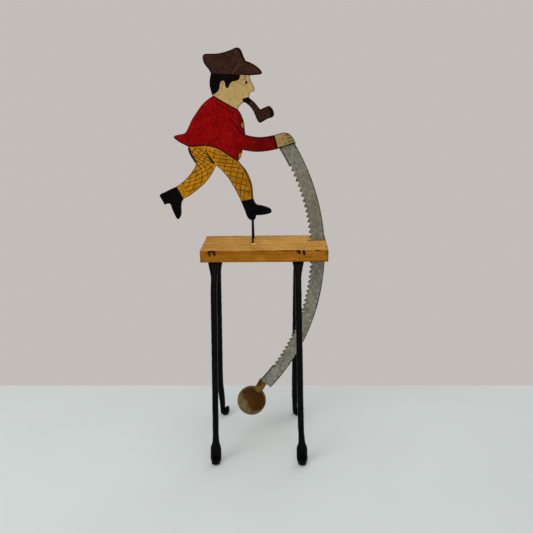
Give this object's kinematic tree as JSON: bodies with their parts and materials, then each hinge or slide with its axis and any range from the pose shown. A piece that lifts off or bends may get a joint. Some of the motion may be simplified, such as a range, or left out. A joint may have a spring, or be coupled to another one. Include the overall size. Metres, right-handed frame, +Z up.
{
  "type": "balancing pendulum sculpture",
  "caption": "Flat painted wooden man on a wire fork, rocking on a plank with forged iron legs; a long curved saw through the plank's kerf carries a wooden ball as the counterweight.",
  "frame": {"origin": "on the floor, under the middle of the object's bounding box", "axes": "+X to the right, where the man looks and the saw hangs; -Y towards the viewer; +Z up"},
  "size_m": [0.2802, 0.1683, 0.7062],
  "materials": {
    "plank_wood": "old varnish, worn",
    "leg_iron": "black, hammered",
    "screw_steel": "dull",
    "man_board": "hand painted, worn",
    "fork_steel": "dark, dull",
    "saw_metal": "grey, mottled",
    "brad_steel": "dark, dull",
    "ball_wood": "varnished, scuffed",
    "dowel_wood": "bare"
  },
  "bodies": {
    "stand": {"plank": "plank_wood", "leg_front_left": "leg_iron", "leg_front_right": "leg_iron", "leg_rear_left": "leg_iron", "leg_rear_right": "leg_iron", "leg_screws": "screw_steel"},
    "rocker": {"man": "man_board", "pivot_fork": "fork_steel", "saw_blade": "saw_metal", "hand_brads": "brad_steel", "ball": "ball_wood", "dowel": "dowel_wood", "dowel_brad": "brad_steel"}
  },
  "joints": [
    {"name": "rock", "type": "hinge", "parent": "stand", "child": "rocker", "pos_m": [0.01514, 0.012, 0.3976], "axis": [0, 1, 0], "range_deg": [-15, 15]}
  ]
}
